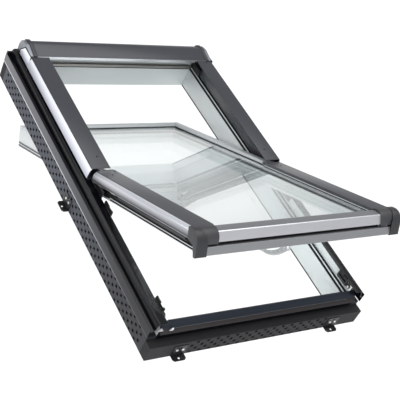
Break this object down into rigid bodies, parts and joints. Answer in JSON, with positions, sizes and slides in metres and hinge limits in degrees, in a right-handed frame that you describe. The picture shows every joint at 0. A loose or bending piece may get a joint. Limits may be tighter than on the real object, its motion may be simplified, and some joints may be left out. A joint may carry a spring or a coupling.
{
  "type": "roof window",
  "caption": "Centre-pivot roof window with a white plastic frame and sash, dark metal covers and an insulating collar, its sash standing open.",
  "frame": {"origin": "middle of the four corner bracket holes, on the room-side plane of the frame", "axes": "+X right as seen from outside, +Y up the roof slope, +Z outwards from the roof"},
  "size_m": [0.844, 1.284, 0.6231],
  "materials": {
    "white_plastic": "satin white PVC",
    "seal": "matt black rubber",
    "collar_foam": "dimpled grey foam",
    "channel": "black painted sheet",
    "dark_cover": "anthracite painted aluminium",
    "cap_plastic": "fine-grained dark grey",
    "black_plastic": "matt black",
    "black_steel": "black coated steel",
    "grey_plastic": "smooth grey",
    "zinc_steel": "zinc plated",
    "silver_aluminium": "silver anodised",
    "satin_handle": "satin silver",
    "glass": "clear, faintly green"
  },
  "bodies": {
    "frame": {"frame_head": "white_plastic", "frame_sill": "white_plastic", "frame_jamb_left": "white_plastic", "frame_jamb_right": "white_plastic", "frame_seal": "seal", "collar_head": "collar_foam", "collar_sill": "collar_foam", "collar_left": "collar_foam", "collar_right": "collar_foam", "side_channel_left": "channel", "side_channel_right": "channel", "head_channel": "channel", "sill_cladding": "channel", "hood": "dark_cover", "hood_cap_left": "cap_plastic", "hood_cap_right": "cap_plastic", "upper_stop_left": "dark_cover", "upper_stop_right": "dark_cover", "upper_cover_left": "dark_cover", "upper_cover_right": "dark_cover", "hinge_plate_left": "black_steel", "hinge_plate_right": "black_steel", "pivot_washers": "grey_plastic", "lock_keeps": "black_plastic", "brackets": "zinc_steel", "bracket_screws": "zinc_steel", "upper_cover_screws": "black_steel"},
    "sash": {"sash_stile_left": "white_plastic", "sash_stile_right": "white_plastic", "sash_top_rail": "white_plastic", "sash_bottom_rail": "white_plastic", "rebate_strip_left": "black_plastic", "rebate_strip_right": "black_plastic", "rebate_strip_bottom": "black_plastic", "outer_pane": "glass", "inner_pane": "glass", "spacer_bar": "silver_aluminium", "edge_sealant": "seal", "inner_gasket": "seal", "outer_gasket": "seal", "bead_left": "silver_aluminium", "bead_right": "silver_aluminium", "bead_top": "silver_aluminium", "cover_clips": "black_plastic", "lower_cover_left": "dark_cover", "lower_cover_right": "dark_cover", "bottom_cover": "silver_aluminium", "cap_left": "cap_plastic", "cap_right": "cap_plastic", "sash_hinge_left": "black_steel", "sash_hinge_right": "black_steel", "lower_cover_screws": "black_steel", "lock_gearbox": "zinc_steel", "handle_rose": "satin_handle"},
    "lever": {"handle": "satin_handle"},
    "bottom_lock_left": {"bottom_rod_left": "zinc_steel"},
    "bottom_lock_right": {"bottom_rod_right": "zinc_steel"},
    "side_lock_left": {"stile_rod_left": "zinc_steel"},
    "side_lock_right": {"stile_rod_right": "zinc_steel"}
  },
  "joints": [
    {"name": "sash_pivot", "type": "hinge", "parent": "frame", "child": "sash", "pos_m": [0, -0.043, 0.162], "axis": [-1, 0, 0], "range_deg": [-28.4, 82]},
    {"name": "lever_turn", "type": "hinge", "parent": "sash", "child": "lever", "pos_m": [0, -0.51883, 0.33743], "axis": [0, -0.4756, -0.8796], "range_deg": [0, 90]},
    {"name": "bottom_rod_slide_left", "type": "slide", "parent": "sash", "child": "bottom_lock_left", "axis": [-1, 0, 0], "range_m": [0, 0.018]},
    {"name": "bottom_rod_slide_right", "type": "slide", "parent": "sash", "child": "bottom_lock_right", "axis": [1, 0, 0], "range_m": [0, 0.018]},
    {"name": "side_rod_slide_left", "type": "slide", "parent": "sash", "child": "side_lock_left", "axis": [0, 0.8796, -0.4756], "range_m": [0, 0.018]},
    {"name": "side_rod_slide_right", "type": "slide", "parent": "sash", "child": "side_lock_right", "axis": [0, 0.8796, -0.4756], "range_m": [0, 0.018]}
  ],
  "couplings": [
    {"joint": "bottom_rod_slide_left", "follows": "lever_turn", "m_per_rad": 0.011459},
    {"joint": "bottom_rod_slide_right", "follows": "lever_turn", "m_per_rad": 0.011459},
    {"joint": "side_rod_slide_left", "follows": "lever_turn", "m_per_rad": 0.011459},
    {"joint": "side_rod_slide_right", "follows": "lever_turn", "m_per_rad": 0.011459}
  ]
}
